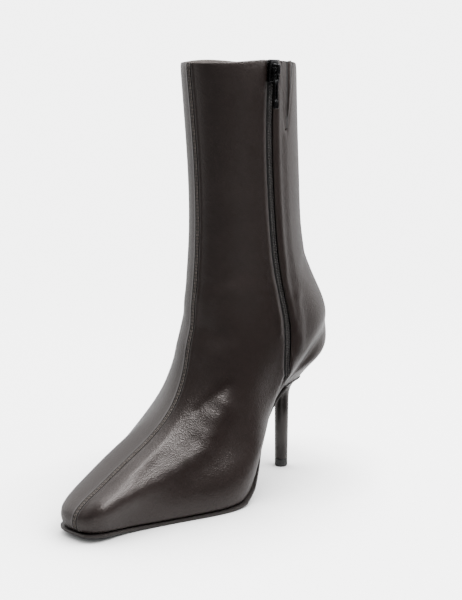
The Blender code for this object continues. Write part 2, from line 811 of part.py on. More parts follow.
def make_zip_pull(metal):
    """Slim tab: a pin through the bridge, two cheeks beside it, a slotted stem and an end block."""
    middle, frame = slider_frame()
    axis_height = (PLATE_TOP + BRIDGE_TOP - BRIDGE_BAR) / 2
    hinge = middle + frame[1] * HINGE_ABOVE_MIDDLE + frame[2] * axis_height
    across = frame[0]
    down = np.array([0.0, 0.0, -1.0])
    down -= across * np.dot(down, across)
    down /= np.linalg.norm(down)
    outward = np.cross(down, across)
    eye = BRIDGE_WIDTH / 2 + PULL_CLEARANCE
    cheek = eye + PULL_CHEEK
    stem = PULL_WIDTH / 2
    window = PULL_WINDOW_WIDTH / 2
    end = PULL_END_WIDTH / 2
    pin = PULL_PIN / 2
    xs = tuple(sorted({-cheek, -end, -stem, -eye, -window, window, eye, stem, end, cheek}))
    ys = (
        -pin,
        pin,
        PULL_EYE_LENGTH - PULL_EYE_BAR,
        PULL_EYE_LENGTH,
        PULL_WINDOW_START,
        PULL_WINDOW_END,
        PULL_LENGTH - PULL_END_LENGTH,
        PULL_LENGTH,
    )
    thin = PULL_THICKNESS / 2
    thick = PULL_END_THICKNESS / 2
    zs = (-thick, -thin, thin, thick)

    def solid(x, y, z):
        if y > PULL_LENGTH - PULL_END_LENGTH:
            return abs(x) < end
        if abs(z) > thin:
            return False
        if y > PULL_EYE_LENGTH:
            in_window = PULL_WINDOW_START < y < PULL_WINDOW_END and abs(x) < window
            return abs(x) < stem and not in_window
        if y < pin or y > PULL_EYE_LENGTH - PULL_EYE_BAR:
            return True
        return abs(x) > eye

    item = make_blocks("zip_pull", (xs, ys, zs), solid, np.array([across, down, outward]), hinge, metal)
    add_bevel(item, PULL_EDGE)
    return item


def stand_on_origin(items):
    """Moves the whole boot so that the origin lies on the floor under its bounding box."""
    bpy.context.view_layer.update()
    depsgraph = bpy.context.evaluated_depsgraph_get()
    low = np.full(3, np.inf)
    high = np.full(3, -np.inf)
    for item in items:
        shape = item.evaluated_get(depsgraph)
        for point in shape.data.vertices:
            world = np.array(item.matrix_world @ point.co)
            low = np.minimum(low, world)
            high = np.maximum(high, world)
    shift = np.array([(low[0] + high[0]) / 2, (low[1] + high[1]) / 2, low[2]])
    for item in items:
        item.location = tuple(np.array(item.location) - shift)
    bpy.context.view_layer.update()


def build():
    clear_scene()
    leather = make_material("upper_leather", (0.055, 0.043, 0.037), 0.38)
    lining = make_material("insole_lining", (0.30, 0.25, 0.20), 0.75)
    sole = make_material("sole_edge", (0.018, 0.015, 0.014), 0.45)
    cover = make_material("heel_cover", (0.020, 0.016, 0.014), 0.28)
    rubber = make_material("heel_rubber", (0.012, 0.012, 0.012), 0.60)
    tape = make_material("zip_tape_cloth", (0.012, 0.012, 0.013), 0.85)
    coil = make_material("zip_coil_nylon", (0.030, 0.030, 0.032), 0.45)
    metal = make_material("black_metal", (0.020, 0.020, 0.022), 0.30, 1.0)
    elastic = make_material("gore_elastic", (0.060, 0.050, 0.045), 0.80)
    items = [
        make_upper(leather),
        make_insole(lining),
        make_outsole(sole),
        make_heel(cover),
        make_heel_tip(rubber),
        make_zip_tape(tape),
        make_zip_coil(coil),
        make_zip_slider(metal),
        make_zip_pull(metal),
        make_gore(elastic),
    ]
    stand_on_origin(items)


build()
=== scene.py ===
"""Stiletto ankle bootie, right foot: the looks, piece by piece, in the order of assembly."""

import math

import bmesh
import bpy
import numpy as np
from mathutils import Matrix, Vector
from mathutils.bvhtree import BVHTree


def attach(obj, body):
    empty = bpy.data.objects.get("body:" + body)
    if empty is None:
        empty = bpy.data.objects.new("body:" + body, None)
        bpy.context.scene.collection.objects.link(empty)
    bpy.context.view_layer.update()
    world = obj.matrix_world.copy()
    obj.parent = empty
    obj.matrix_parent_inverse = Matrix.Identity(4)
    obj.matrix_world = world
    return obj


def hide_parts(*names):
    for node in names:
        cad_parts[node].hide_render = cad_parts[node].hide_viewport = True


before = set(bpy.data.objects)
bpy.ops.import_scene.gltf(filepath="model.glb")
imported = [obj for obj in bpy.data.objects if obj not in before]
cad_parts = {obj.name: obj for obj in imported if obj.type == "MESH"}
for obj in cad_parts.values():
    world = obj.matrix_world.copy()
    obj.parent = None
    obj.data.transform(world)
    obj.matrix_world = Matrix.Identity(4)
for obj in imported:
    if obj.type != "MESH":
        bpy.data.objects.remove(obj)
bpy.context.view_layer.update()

# Stage and camera: a pale seamless floor that fades into the backdrop, and a camera that stands in
# front of the toe on the boot's inner side, a little above the middle of the shaft.
TIP_X = -0.083217
TIP_Y = 0.004266
CAMERA_AT = (TIP_X + 0.7037, TIP_Y + 0.5814, 0.3076)
CAMERA_YAW = 132.0
CAMERA_PITCH = 79.0
CAMERA_LENS = 73.8

camera_data = bpy.data.cameras.new("camera")
camera_data.lens = CAMERA_LENS
camera_data.sensor_width = 36.0
camera_data.clip_start = 0.01
camera = bpy.data.objects.new("camera", camera_data)
camera.location = CAMERA_AT
camera.rotation_euler = (math.radians(CAMERA_PITCH), 0.0, math.radians(CAMERA_YAW))
bpy.context.collection.objects.link(camera)
bpy.context.scene.camera = camera

bpy.ops.object.select_all(action="DESELECT")
FLOOR_RADIUS = 1.6
FLOOR_AHEAD = 0.32
FLOOR_SHIFT = FLOOR_RADIUS - FLOOR_AHEAD
VIEW_TURN = math.radians(CAMERA_YAW)
bpy.ops.mesh.primitive_circle_add(
    vertices=96, radius=FLOOR_RADIUS, fill_type="NGON",
    location=(-math.sin(VIEW_TURN) * FLOOR_SHIFT, math.cos(VIEW_TURN) * FLOOR_SHIFT, 0.0),
)
floor = bpy.context.object
floor.name = "floor"
bpy.ops.object.transform_apply(location=True, rotation=False, scale=False)

# What the camera sees of the floor is lifted to the backdrop's tone by a glow, less where the boot stands
# close over it, which paints its contact shadow, and from 0.3 to 1.1 m out from the boot's middle it blends
# into the backdrop
BACKDROP = 5.4
FLOOR_LIFT = 4.75
FLOOR_SEEN = 0.30
FLOOR_REFLECTED = 0.55
PAINTED_SHADOW_REACH = 0.10
PAINTED_SHADOW_DEPTH = 2.3
FADE_START = 0.30
FADE_END = 1.10
floor_paint = bpy.data.materials.new("floor_paint")
floor_paint.use_nodes = True
floor_nodes = floor_paint.node_tree.nodes
floor_links = floor_paint.node_tree.links
paint = floor_nodes["Principled BSDF"]
paint.inputs["Roughness"].default_value = 0.75
paint.inputs["Specular IOR Level"].default_value = 0.2
paint.inputs["Emission Color"].default_value = (1.0, 1.0, 1.0, 1.0)
seen = floor_nodes.new("ShaderNodeLightPath")
floor_tone = floor_nodes.new("ShaderNodeMix")
floor_tone.data_type = "RGBA"
floor_tone.inputs[6].default_value = (FLOOR_REFLECTED, FLOOR_REFLECTED, FLOOR_REFLECTED, 1.0)
floor_tone.inputs[7].default_value = (FLOOR_SEEN, FLOOR_SEEN, FLOOR_SEEN, 1.0)
# Painted contact shadow: the floor's glow for the camera is scaled by ambient occlusion, so it goes dark
# close under the boot
painted_shadow_ao = floor_nodes.new("ShaderNodeAmbientOcclusion")
painted_shadow_ao.inputs["Distance"].default_value = PAINTED_SHADOW_REACH
painted_shadow_ao.samples = 8
deeper = floor_nodes.new("ShaderNodeMath")
deeper.operation = "POWER"
deeper.inputs[1].default_value = PAINTED_SHADOW_DEPTH
open_sky = floor_nodes.new("ShaderNodeMath")
open_sky.operation = "MULTIPLY"
open_sky.inputs[1].default_value = FLOOR_LIFT
lift = floor_nodes.new("ShaderNodeMath")
lift.operation = "MULTIPLY"
floor_place = floor_nodes.new("ShaderNodeTexCoord")
distance = floor_nodes.new("ShaderNodeVectorMath")
distance.operation = "LENGTH"
fade = floor_nodes.new("ShaderNodeMapRange")
fade.interpolation_type = "SMOOTHSTEP"
fade.inputs["From Min"].default_value = FADE_START
fade.inputs["From Max"].default_value = FADE_END
fade_seen = floor_nodes.new("ShaderNodeMath")
fade_seen.operation = "MULTIPLY"
far = floor_nodes.new("ShaderNodeEmission")
far.inputs["Strength"].default_value = BACKDROP
both = floor_nodes.new("ShaderNodeMixShader")
floor_links.new(seen.outputs["Is Camera Ray"], floor_tone.inputs["Factor"])
floor_links.new(floor_tone.outputs[2], paint.inputs["Base Color"])
floor_links.new(painted_shadow_ao.outputs["AO"], deeper.inputs[0])
floor_links.new(deeper.outputs[0], open_sky.inputs[0])
floor_links.new(open_sky.outputs[0], lift.inputs[0])
floor_links.new(seen.outputs["Is Camera Ray"], lift.inputs[1])
floor_links.new(lift.outputs[0], paint.inputs["Emission Strength"])
floor_links.new(floor_place.outputs["Object"], distance.inputs[0])
floor_links.new(distance.outputs["Value"], fade.inputs["Value"])
floor_links.new(fade.outputs["Result"], fade_seen.inputs[0])
floor_links.new(seen.outputs["Is Camera Ray"], fade_seen.inputs[1])
floor_links.new(fade_seen.outputs[0], both.inputs[0])
floor_links.new(paint.outputs[0], both.inputs[1])
floor_links.new(far.outputs[0], both.inputs[2])
floor_links.new(both.outputs[0], floor_nodes["Material Output"].inputs["Surface"])
floor.data.materials.append(floor_paint)

# The studio round it is white, and dark only behind the camera, so that the leather shows soft
# grey flanks and a dark middle; the camera itself sees one pale backdrop
ROOM_LIGHT = 1.4
ROOM_DARK = 0.28
DARK_SIDE = (0.601, 0.769, 0.156)
DARK_BEGINS = 0.12
DARK_WHOLE = 0.60
world = bpy.data.worlds.new("studio")
bpy.context.scene.world = world
world.use_nodes = True
room = world.node_tree.nodes
room_links = world.node_tree.links
toward = room.new("ShaderNodeTexCoord")
lean = room.new("ShaderNodeVectorMath")
lean.operation = "DOT_PRODUCT"
lean.inputs[1].default_value = DARK_SIDE
shade = room.new("ShaderNodeMapRange")
shade.interpolation_type = "SMOOTHSTEP"
shade.inputs["From Min"].default_value = DARK_BEGINS
shade.inputs["From Max"].default_value = DARK_WHOLE
shade.inputs["To Min"].default_value = ROOM_LIGHT
shade.inputs["To Max"].default_value = ROOM_DARK
path = room.new("ShaderNodeLightPath")
choose = room.new("ShaderNodeMix")
choose.inputs[3].default_value = BACKDROP
room_links.new(toward.outputs["Generated"], lean.inputs[0])
room_links.new(lean.outputs["Value"], shade.inputs["Value"])
room_links.new(path.outputs["Is Camera Ray"], choose.inputs[0])
room_links.new(shade.outputs["Result"], choose.inputs[2])
room_links.new(choose.outputs[0], room["Background"].inputs["Strength"])
room["Background"].inputs["Color"].default_value = (1.0, 1.0, 1.0, 1.0)

# Lights: large soft boxes to the left and right of the boot, one above it, and a long narrow one
# above its inner side that draws the crisp highlight along the shoulder of the vamp
SOFT_BOXES = (
    ("light_left", (0.30, -1.5, 0.9), (0.0, 0.0, 0.10), (1.2, 1.4), 7.0),
    ("light_right", (-1.3, 0.9, 0.9), (0.0, 0.0, 0.10), (1.2, 1.4), 14.0),
    ("light_top", (-0.45, -0.10, 1.30), (0.05, 0.0, 0.0), (0.9, 0.9), 19.0),
    ("light_shoulder", (-0.28, 0.60, 1.14), (0.06, 0.03, 0.05), (0.95, 0.32), 30.0),
)
for light_name, stand, target, spread, power in SOFT_BOXES:
    lamp = bpy.data.lights.new(light_name, "AREA")
    lamp.shape = "RECTANGLE"
    lamp.size, lamp.size_y = spread
    lamp.energy = power
    holder = bpy.data.objects.new(light_name, lamp)
    holder.location = stand
    aim = Vector(target) - Vector(stand)
    holder.rotation_euler = aim.to_track_quat("-Z", "Y").to_euler()
    bpy.context.collection.objects.link(holder)

# Two black flags stand on the floor on the boot's inner side, one low and one tall. They are seen
# only in the leather's reflections, where they keep the side of the foot and of the shaft dark.
FLAGS = (
    ("flag_low", (-0.050, 0.135, 0.043), (0.220, 0.075, 0.085)),
    ("flag_tall", (-0.130, 0.135, 0.155), (0.100, 0.085, 0.310)),
)
flag_cloth = bpy.data.materials.new("flag_cloth")
flag_cloth.use_nodes = True
flag_shader = flag_cloth.node_tree.nodes["Principled BSDF"]
flag_shader.inputs["Base Color"].default_value = (0.01, 0.01, 0.01, 1.0)
flag_shader.inputs["Roughness"].default_value = 0.9
for flag_name, centre, spread in FLAGS:
    bpy.ops.mesh.primitive_cube_add(size=1.0, location=centre)
    flag = bpy.context.object
    flag.name = flag_name
    flag.dimensions = spread
    bpy.ops.object.transform_apply(location=True, rotation=False, scale=True)
    flag.data.materials.append(flag_cloth)
    flag.visible_camera = False
    flag.visible_diffuse = False
    flag.visible_shadow = False
    flag.visible_transmission = False


# Upper: dark espresso calf leather, two halves lasted over the foot and joined by a raised seam
# along the front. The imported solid's wall is refined here, then the seam is raised and the soft
# creases of the ankle are pressed in.
def own_mesh(node, name):
    """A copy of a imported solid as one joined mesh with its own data."""
    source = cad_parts[node]
    copy = bpy.data.objects.new(name, source.data.copy())
    bpy.context.collection.objects.link(copy)
    work = bmesh.new()
    work.from_mesh(copy.data)
    bmesh.ops.remove_doubles(work, verts=work.verts, dist=0.00001)
    work.to_mesh(copy.data)
    work.free()
    copy.data.materials.clear()
    return copy


def pick(item):
    bpy.ops.object.select_all(action="DESELECT")
    item.select_set(True)
    bpy.context.view_layer.objects.active = item


def quads_and_subdivide(item, levels):
    pick(item)
    bpy.ops.object.mode_set(mode="EDIT")
    bpy.ops.mesh.select_all(action="SELECT")
    bpy.ops.mesh.tris_convert_to_quads(face_threshold=math.radians(60), shape_threshold=math.radians(70))
    bpy.ops.object.mode_set(mode="OBJECT")
    if levels:
        finer = item.modifiers.new("finer", "SUBSURF")
        finer.levels = levels
        finer.render_levels = levels
        bpy.ops.object.modifier_apply(modifier="finer")
    bpy.ops.object.shade_smooth()


def read_points(item):
    flat = np.empty(len(item.data.vertices) * 3, dtype=np.float32)
    item.data.vertices.foreach_get("co", flat)
    return flat.reshape(-1, 3).astype(float)


def read_normals(item):
    flat = np.empty(len(item.data.vertices) * 3, dtype=np.float32)
    item.data.vertices.foreach_get("normal", flat)
    return flat.reshape(-1, 3).astype(float)


def write_points(item, points):
    item.data.vertices.foreach_set("co", points.astype(np.float32).ravel())
    item.data.update()


boot_upper = own_mesh("upper", "boot_upper")
quads_and_subdivide(boot_upper, 2)

# The foot's middle line, from the collar down to the heel and out to the toe: what faces away
# from it is outer leather, what faces it is lining
FOOT_LINE = np.array([
    (-0.035, TIP_Y, 0.330), (-0.037, TIP_Y, 0.215), (-0.041, TIP_Y, 0.160), (-0.046, TIP_Y - 0.002, 0.105),
    (-0.015, TIP_Y - 0.003, 0.062), (0.022, TIP_Y - 0.004, 0.028), (0.060, TIP_Y - 0.004, 0.019),
    (0.105, TIP_Y - 0.004, 0.014), (0.119, TIP_Y - 0.004, 0.013),
])


def nearest_on_line(points, line):
    best = np.full(len(points), np.inf)
    spot = np.zeros_like(points)
    for a, b in zip(line[:-1], line[1:]):
        run = b - a
        t = np.clip((points - a) @ run / (run @ run), 0.0, 1.0)
        here = a + t[:, None] * run
        gap = np.linalg.norm(points - here, axis=1)
        closer = gap < best
        best[closer] = gap[closer]
        spot[closer] = here[closer]
    return spot, best


skin = read_points(boot_upper)
outward = read_normals(boot_upper)
middle, _ = nearest_on_line(skin, FOOT_LINE)
outer_side = np.einsum("ij,ij->i", outward, skin - middle) > 0

# The seam between the two halves stands up a little: height and half width in metres
SEAM_RISE = 0.00018
SEAM_HALF = 0.0013
front = outer_side & (outward[:, 2] > -0.4) & (skin[:, 0] > -0.02)
beside = np.abs(skin[:, 1] - TIP_Y)
push = np.zeros(len(skin))
push[front] += SEAM_RISE * np.exp(-(beside[front] / SEAM_HALF) ** 4)

# Soft creases, given to about 5 mm: the places they pass near, forward, aside and up from
# the heel tip, then half width and depth, all in millimetres. A negative depth is a ridge. The
# shoulder is the ridge between the vamp's top and its inner side.
SHOULDER = (((195, 15, 20), (160, 20, 30), (115, 25, 45), (90, 25, 70)), 8.5, -2.6)
FULL_VAMP = (((175, 15, 25), (140, 15, 45), (105, 20, 65)), 7.0, -0.9)
INSTEP_FOLDS = (
    (((110, 15, 70), (85, 20, 85)), 3.5, 0.7),
    (((90, 20, 90), (80, 20, 110)), 6.0, -0.6),
)
ZIP_FOOT_FOLD = (((30, 30, 80), (35, 25, 65)), 1.6, 1.0)
ANKLE_FOLDS = (
    (((95, 5, 145), (75, 20, 150)), 5.0, -0.6),
    (((95, 5, 155), (70, 25, 160)), 5.0, 0.6),
    (((90, -20, 130), (90, 20, 120)), 7.0, 0.9),
    (((95, -20, 110), (95, 20, 105)), 8.0, -0.6),
    (((80, 25, 170), (60, 30, 160)), 6.0, 0.5),
    (((85, -25, 150), (60, -35, 140)), 8.0, 0.6),
)
FOLDS_BESIDE_ZIP = (
    (((45, 30, 150), (40, 30, 125)), 4.0, -0.7),
    (((20, 30, 140), (15, 30, 105)), 4.5, -0.9),
    (((30, 30, 120), (25, 30, 100)), 3.5, 0.7),
)
BACK_FOLDS = (
    (((-10, 15, 170), (5, 25, 160)), 7.0, 0.6),
    (((-10, -20, 170), (5, -25, 160)), 7.0, 0.6),
)
CREASE_STEP = 0.005
LEAST_STEP = 0.0002
outer_skin = skin[outer_side]


def on_leather(spot):
    """The point of the outer leather that is nearest to a place."""
    return outer_skin[np.argmin(np.linalg.norm(outer_skin - spot, axis=1))]


def laid_on_leather(corners):
    """A line through the corners, in short steps, each step settled on the leather."""
    laid = []
    for a, b in zip(corners[:-1], corners[1:]):
        steps = max(2, math.ceil(np.linalg.norm(b - a) / CREASE_STEP))
        for share in np.linspace(0.0, 1.0, steps):
            laid.append(on_leather(a + (b - a) * share))
    return np.array(laid)


def apart(line):
    """Only the points of a line that stand clear of the one before."""
    kept = [line[0]]
    for spot in line[1:]:
        if np.linalg.norm(spot - kept[-1]) > LEAST_STEP:
            kept.append(spot)
    return np.array(kept)


for run, half, depth in (
    SHOULDER, FULL_VAMP, *INSTEP_FOLDS, ZIP_FOOT_FOLD, *ANKLE_FOLDS, *FOLDS_BESIDE_ZIP, *BACK_FOLDS,
):
    corners = np.array(run) * 0.001 + (TIP_X, TIP_Y, 0.0)
    _, gap = nearest_on_line(skin, apart(laid_on_leather(corners)))
    push -= depth * 0.001 * np.exp(-(gap / (half * 0.001)) ** 2)

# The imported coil's solid gives the zip's line, which the slot's lips and the coil itself follow
coil_guide = own_mesh("zip_coil", "coil_guide")
guide_points = read_points(coil_guide)
guide_edges = np.array([tuple(edge.vertices) for edge in coil_guide.data.edges])
guide_tree = BVHTree.FromPolygons(
    [vertex.co.copy() for vertex in coil_guide.data.vertices],
    [tuple(face.vertices) for face in coil_guide.data.polygons],
)
bpy.data.objects.remove(coil_guide)


def guide_middle(height):
    """Middle of the coil's solid where a level plane cuts it."""
    a = guide_points[guide_edges[:, 0]]
    b = guide_points[guide_edges[:, 1]]
    crosses = (a[:, 2] - height) * (b[:, 2] - height) < 0
    a = a[crosses]
    b = b[crosses]
    share = (height - a[:, 2]) / (b[:, 2] - a[:, 2])
    cut = a + (b - a) * share[:, None]
    return (cut.min(axis=0) + cut.max(axis=0)) / 2


# The slot's lips: the leather stands up in a narrow fold on each side of the zip
LIP_TOP = 0.285
LIP_FOOT = 0.105
LIP_STEP = 0.010
LIP_BESIDE = 0.008
LIP_HALF = 0.0025
LIP_RISE = 0.0007
for way in (1.0, -1.0):
    lip = [
        on_leather(guide_middle(height) + (way * LIP_BESIDE, 0.0, 0.0))
        for height in np.arange(LIP_TOP, LIP_FOOT, -LIP_STEP)
    ]
    _, gap = nearest_on_line(skin, apart(np.array(lip)))
    push += LIP_RISE * np.exp(-(gap / LIP_HALF) ** 2)
write_points(boot_upper, skin + outward * push[:, None])


def new_material(name):
    material = bpy.data.materials.new(name)
    material.use_nodes = True
    return material, material.node_tree.nodes, material.node_tree.links


def grain_group():
    """Fine pebbled grain: a height for bump and a mask of the hollows between the pebbles."""
    group = bpy.data.node_groups.new("leather_grain", "ShaderNodeTree")
    for socket, kind in (("Pebble Scale", "NodeSocketFloat"), ("Wrinkle Scale", "NodeSocketFloat")):
        group.interface.new_socket(name=socket, in_out="INPUT", socket_type=kind)
    for socket in ("Height", "Hollows"):
        group.interface.new_socket(name=socket, in_out="OUTPUT", socket_type="NodeSocketFloat")
    nodes = group.nodes
    links = group.links
    start = nodes.new("NodeGroupInput")
    end = nodes.new("NodeGroupOutput")
    place = nodes.new("ShaderNodeTexCoord")
    pebbles = nodes.new("ShaderNodeTexVoronoi")
    pebbles.feature = "SMOOTH_F1"
    pebbles.inputs["Smoothness"].default_value = 0.6
    warp = nodes.new("ShaderNodeTexNoise")
    warp.inputs["Scale"].default_value = 260.0
    warp.inputs["Detail"].default_value = 3.0
    shift = nodes.new("ShaderNodeMix")
    shift.data_type = "VECTOR"
    shift.inputs["Factor"].default_value = 0.0012
    wrinkles = nodes.new("ShaderNodeTexNoise")
    wrinkles.inputs["Detail"].default_value = 5.0
    wrinkles.inputs["Roughness"].default_value = 0.65
    add = nodes.new("ShaderNodeMath")
    add.operation = "MULTIPLY_ADD"
    add.inputs[1].default_value = 0.5
    links.new(place.outputs["Object"], warp.inputs["Vector"])
    links.new(place.outputs["Object"], shift.inputs[4])
    links.new(warp.outputs["Color"], shift.inputs[5])
    links.new(shift.outputs[1], pebbles.inputs["Vector"])
    links.new(start.outputs["Pebble Scale"], pebbles.inputs["Scale"])
    links.new(place.outputs["Object"], wrinkles.inputs["Vector"])
    links.new(start.outputs["Wrinkle Scale"], wrinkles.inputs["Scale"])
    links.new(wrinkles.outputs["Fac"], add.inputs[0])
    links.new(pebbles.outputs["Distance"], add.inputs[2])
    links.new(add.outputs[0], end.inputs["Height"])
    links.new(pebbles.outputs["Distance"], end.inputs["Hollows"])
    return group


LEATHER_GRAIN = grain_group()


def leather(name, colour, deep, roughness, pebble, bump, coat):
    """Finished leather: grain in the bump, slight mottling in colour and gloss."""
    material, nodes, links = new_material(name)
    shader = nodes["Principled BSDF"]
    shader.inputs["Specular IOR Level"].default_value = 0.5
    shader.inputs["Specular Tint"].default_value = (1.0, 0.93, 0.90, 1.0)
    shader.inputs["Coat Weight"].default_value = coat
    shader.inputs["Coat Roughness"].default_value = 0.32
    grain = nodes.new("ShaderNodeGroup")
    grain.node_tree = LEATHER_GRAIN
    grain.inputs["Pebble Scale"].default_value = pebble
    grain.inputs["Wrinkle Scale"].default_value = pebble * 1.7
    place = nodes.new("ShaderNodeTexCoord")
    mottle = nodes.new("ShaderNodeTexNoise")
    mottle.inputs["Scale"].default_value = 26.0
    mottle.inputs["Detail"].default_value = 4.0
    links.new(place.outputs["Object"], mottle.inputs["Vector"])
    tint = nodes.new("ShaderNodeMix")
    tint.data_type = "RGBA"
    tint.inputs[6].default_value = (*deep, 1.0)
    tint.inputs[7].default_value = (*colour, 1.0)
    links.new(mottle.outputs["Fac"], tint.inputs["Factor"])
    links.new(tint.outputs[2], shader.inputs["Base Color"])
    gloss = nodes.new("ShaderNodeMapRange")
    gloss.inputs["To Min"].default_value = roughness - 0.04
    gloss.inputs["To Max"].default_value = roughness + 0.06
    links.new(mottle.outputs["Fac"], gloss.inputs["Value"])
    links.new(gloss.outputs["Result"], shader.inputs["Roughness"])
    relief = nodes.new("ShaderNodeBump")
    relief.inputs["Strength"].default_value = bump
    relief.inputs["Distance"].default_value = 0.0002
    links.new(grain.outputs["Height"], relief.inputs["Height"])
    links.new(relief.outputs["Normal"], shader.inputs["Normal"])
    return material


def seam_relief(material):
    """A raised, stitched ridge on the boot's middle plane, with a fine groove on each side darkened by
    painted shade.
    """
    nodes = material.node_tree.nodes
    links = material.node_tree.links
    shader = nodes["Principled BSDF"]
    place = nodes.new("ShaderNodeTexCoord")
    parts = nodes.new("ShaderNodeSeparateXYZ")
    off = nodes.new("ShaderNodeMath")
    off.operation = "SUBTRACT"
    off.inputs[1].default_value = TIP_Y
    beside_seam = nodes.new("ShaderNodeMath")
    beside_seam.operation = "ABSOLUTE"
    links.new(place.outputs["Object"], parts.inputs[0])
    links.new(parts.outputs["Y"], off.inputs[0])
    links.new(off.outputs[0], beside_seam.inputs[0])

    def band(low, high, from_value, to_value):
        step = nodes.new("ShaderNodeMapRange")
        step.interpolation_type = "SMOOTHSTEP"
        step.inputs["From Min"].default_value = low
        step.inputs["From Max"].default_value = high
        step.inputs["To Min"].default_value = from_value
        step.inputs["To Max"].default_value = to_value
        links.new(beside_seam.outputs[0], step.inputs["Value"])
        return step.outputs["Result"]

    line = nodes.new("ShaderNodeMath")
    line.operation = "MULTIPLY"
    links.new(band(SEAM_EDGE - 0.0004, SEAM_EDGE, 0.0, 1.0), line.inputs[0])
    links.new(band(SEAM_EDGE + 0.0003, SEAM_EDGE + 0.0009, 1.0, 0.0), line.inputs[1])
    # The groove's colour is made near black: painted shade in the groove beside the ridge
    groove_painted_shade = nodes.new("ShaderNodeMix")
    groove_painted_shade.data_type = "RGBA"
    groove_painted_shade.inputs[7].default_value = (0.0010, 0.0008, 0.0007, 1.0)
    links.new(line.outputs[0], groove_painted_shade.inputs["Factor"])
    links.new(shader.inputs["Base Color"].links[0].from_socket, groove_painted_shade.inputs[6])
    links.new(groove_painted_shade.outputs[2], shader.inputs["Base Color"])
    duller = nodes.new("ShaderNodeMix")
    duller.inputs[3].default_value = 1.0
    links.new(line.outputs[0], duller.inputs[0])
    links.new(shader.inputs["Roughness"].links[0].from_socket, duller.inputs[2])
    links.new(duller.outputs[0], shader.inputs["Roughness"])
    ridge = nodes.new("ShaderNodeBump")
    ridge.inputs["Strength"].default_value = 1.0
    ridge.inputs["Distance"].default_value = 0.0003
    groove = nodes.new("ShaderNodeMath")
    groove.operation = "MULTIPLY_ADD"
    groove.inputs[1].default_value = -1.5
    links.new(line.outputs[0], groove.inputs[0])
    links.new(band(SEAM_EDGE - 0.0005, SEAM_EDGE + 0.0002, 1.0, 0.0), groove.inputs[2])
    links.new(groove.outputs[0], ridge.inputs["Height"])
    links.new(shader.inputs["Normal"].links[0].from_socket, ridge.inputs["Normal"])
    links.new(ridge.outputs["Normal"], shader.inputs["Normal"])


SEAM_EDGE = 0.00125
calf = leather("espresso_calf", (0.0135, 0.0085, 0.0075), (0.0090, 0.0056, 0.0050), 0.34, 1200.0, 0.85, 0.0)
seam_relief(calf)
lining = leather("lining_leather", (0.060, 0.050, 0.044), (0.042, 0.035, 0.030), 0.62, 700.0, 0.25, 0.0)
boot_upper.data.materials.append(calf)
boot_upper.data.materials.append(lining)
for face in boot_upper.data.polygons:
    facing = sum(1 for corner in face.vertices if outer_side[corner])
    face.material_index = 0 if facing * 2 >= len(face.vertices) else 1
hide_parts("upper")
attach(boot_upper, "boot")


# Seam: two rows of short stitches on the raised seam, from the collar over the instep to the
# sole. One small thread shape is set along points found on the leather by ray casts.
SEAM_ROW = 0.00070
SEAM_PITCH = 0.0024
STITCH_LENGTH = 0.0017
STITCH_RADIUS = 0.00026
SEAM_STEP = 0.0015
SHAFT_HEIGHTS = (0.3085, 0.120)
INSTEP_CENTRE = (0.19, 0.24)
INSTEP_TURNS = (2.0, 89.0, 1.2)
VAMP_REACH = (0.045, 0.1225)
TOE_HEIGHTS = (0.018, 0.0075, -0.001)

skin_tree = BVHTree.FromPolygons(
    [vertex.co.copy() for vertex in boot_upper.data.vertices],
    [tuple(face.vertices) for face in boot_upper.data.polygons],
)


def seam_line(side):
    """Points and outward directions down the front of the boot, at a distance beside the middle plane."""
    found = []
    for height in np.arange(*SHAFT_HEIGHTS, -SEAM_STEP):
        found.append(skin_tree.ray_cast(Vector((0.30, TIP_Y + side, height)), Vector((-1.0, 0.0, 0.0))))
    for turn in np.arange(*INSTEP_TURNS):
        angle = math.radians(turn)
        away = Vector((math.cos(angle), 0.0, math.sin(angle)))
        centre = Vector((INSTEP_CENTRE[0], TIP_Y + side, INSTEP_CENTRE[1]))
        found.append(skin_tree.ray_cast(centre, -away))
    for forward in np.arange(*VAMP_REACH, SEAM_STEP):
        found.append(skin_tree.ray_cast(Vector((forward, TIP_Y + side, 0.20)), Vector((0.0, 0.0, -1.0))))
    for height in np.arange(*TOE_HEIGHTS):
        found.append(skin_tree.ray_cast(Vector((0.20, TIP_Y + side, height)), Vector((-1.0, 0.0, 0.0))))
    return [(tuple(hit[0]), tuple(hit[1])) for hit in found if hit[0] is not None]


def in_order(points):
    """The seam's points sorted from the collar to the toe, by x minus z."""
    return sorted(points, key=lambda both: both[0][0] - both[0][2])


def evenly(points, pitch):
    """Places a pitch apart along the points, each with its direction and its normal."""
    spots = np.array([both[0] for both in points])
    normals = np.array([both[1] for both in points])
    steps = np.linalg.norm(np.diff(spots, axis=0), axis=1)
    keep = np.concatenate([[True], steps > 0.0004])
    spots = spots[keep]
    normals = normals[keep]
    length = np.concatenate([[0.0], np.cumsum(np.linalg.norm(np.diff(spots, axis=0), axis=1))])
    at = np.arange(pitch / 2, length[-1] - pitch / 2, pitch)
    place = np.stack([np.interp(at, length, spots[:, k]) for k in range(3)], axis=1)
    ahead = np.stack([np.interp(at + 0.0005, length, spots[:, k]) for k in range(3)], axis=1)
    normal = np.stack([np.interp(at, length, normals[:, k]) for k in range(3)], axis=1)
    along_line = ahead - place
    along_line /= np.linalg.norm(along_line, axis=1)[:, None]
    normal /= np.linalg.norm(normal, axis=1)[:, None]
    return place, along_line, normal


